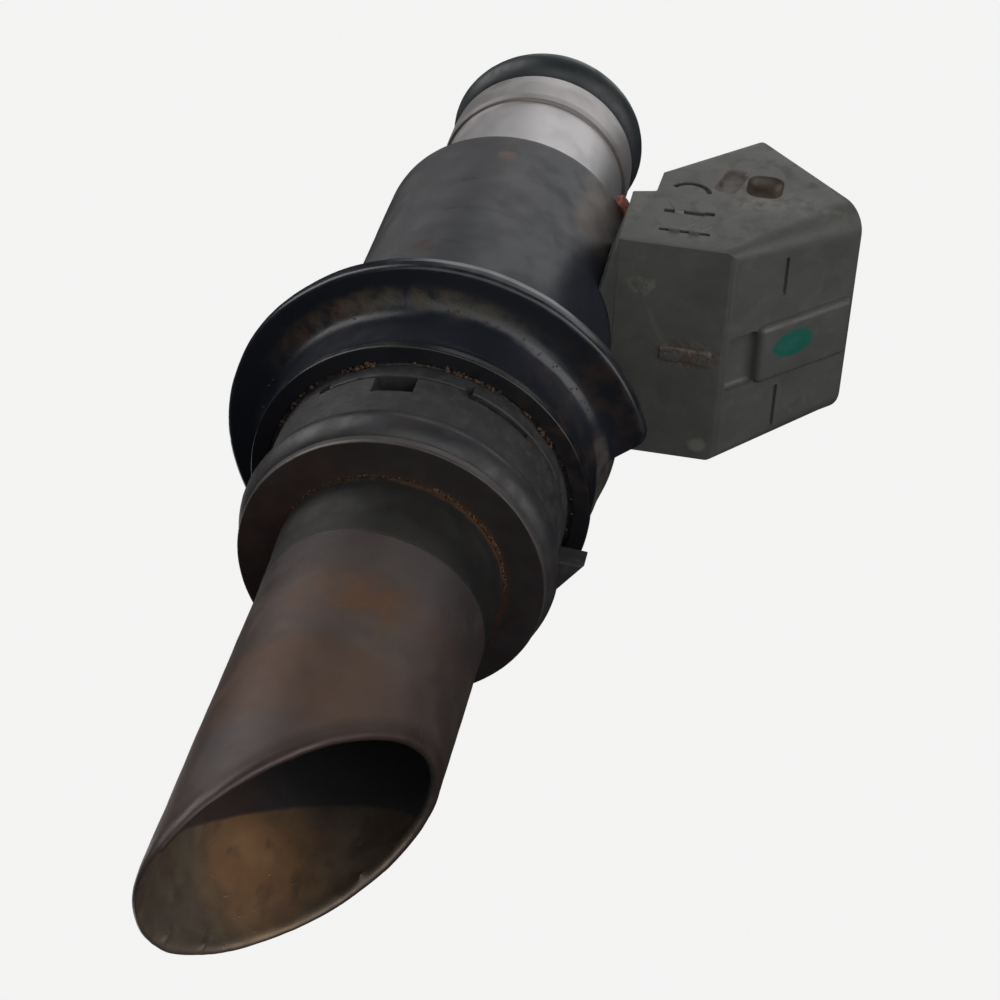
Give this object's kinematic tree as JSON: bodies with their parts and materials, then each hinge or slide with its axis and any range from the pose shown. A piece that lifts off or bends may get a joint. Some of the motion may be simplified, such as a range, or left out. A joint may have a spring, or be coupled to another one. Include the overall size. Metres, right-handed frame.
{
  "type": "fuel injector",
  "caption": "Top-feed fuel injector with an angled two-pin socket, a moulded mounting flange and a slant-cut deflector tube.",
  "frame": {"origin": "centre of the front face of the disc that retains the lower seal, on the injector's axis", "axes": "+Z along the injector's axis towards the fuel inlet, +X towards the connector"},
  "size_m": [0.0299, 0.0212, 0.0673],
  "materials": {
    "stained_steel": "heat-stained brown and purple-grey, satin",
    "dull_steel": "greenish grey, dull",
    "retainer_steel": "dark brown-black, worn edge",
    "seal_rubber": "satin black, slightly brown with dirt",
    "inlet_seal_rubber": "satin green-black",
    "ring_plastic": "black, dusty",
    "collar_plastic": "blue-black, semi-gloss, rust-tinted dirt in the fillet",
    "painted_sleeve": "blue-black paint, satin, scuffed",
    "connector_plastic": "grey, scuffed, brown stains",
    "bright_steel": "satin silver, turned",
    "machined_steel": "machined",
    "spring_steel": "drawn wire",
    "copper_wire": "enamelled copper winding",
    "tinned_brass": "tin-plated",
    "brass": "turned",
    "natural_plastic": "unpainted nylon"
  },
  "bodies": {
    "injector": {"deflector_tube": "stained_steel", "deflector_collar": "dull_steel", "seal_retainer": "retainer_steel", "lower_o_ring": "seal_rubber", "seal_support_ring": "ring_plastic", "clip_ring": "ring_plastic", "valve_body": "machined_steel", "orifice_plate": "machined_steel", "valve_seat": "machined_steel", "seat_o_ring": "seal_rubber", "return_spring": "spring_steel", "adjusting_sleeve": "brass", "guide_sleeve": "machined_steel", "pole_core": "machined_steel", "coil_bobbin": "natural_plastic", "coil_winding": "copper_wire", "flux_washer": "machined_steel", "terminals": "tinned_brass", "body_sleeve": "painted_sleeve", "flange_collar": "collar_plastic", "connector_body": "connector_plastic", "inlet_tube": "bright_steel", "upper_o_ring": "inlet_seal_rubber", "filter_frame": "natural_plastic", "filter_mesh": "natural_plastic", "filter_collar": "brass"},
    "needle": {"armature": "machined_steel", "valve_stem": "machined_steel", "valve_ball": "machined_steel"}
  },
  "joints": [
    {"name": "needle_lift", "type": "slide", "parent": "injector", "child": "needle", "axis": [0, 0, 1], "range_m": [0, 0.0001], "stiffness_N_per_m": 2000, "springref_m": -0.0012, "deforming": ["return_spring"]}
  ]
}
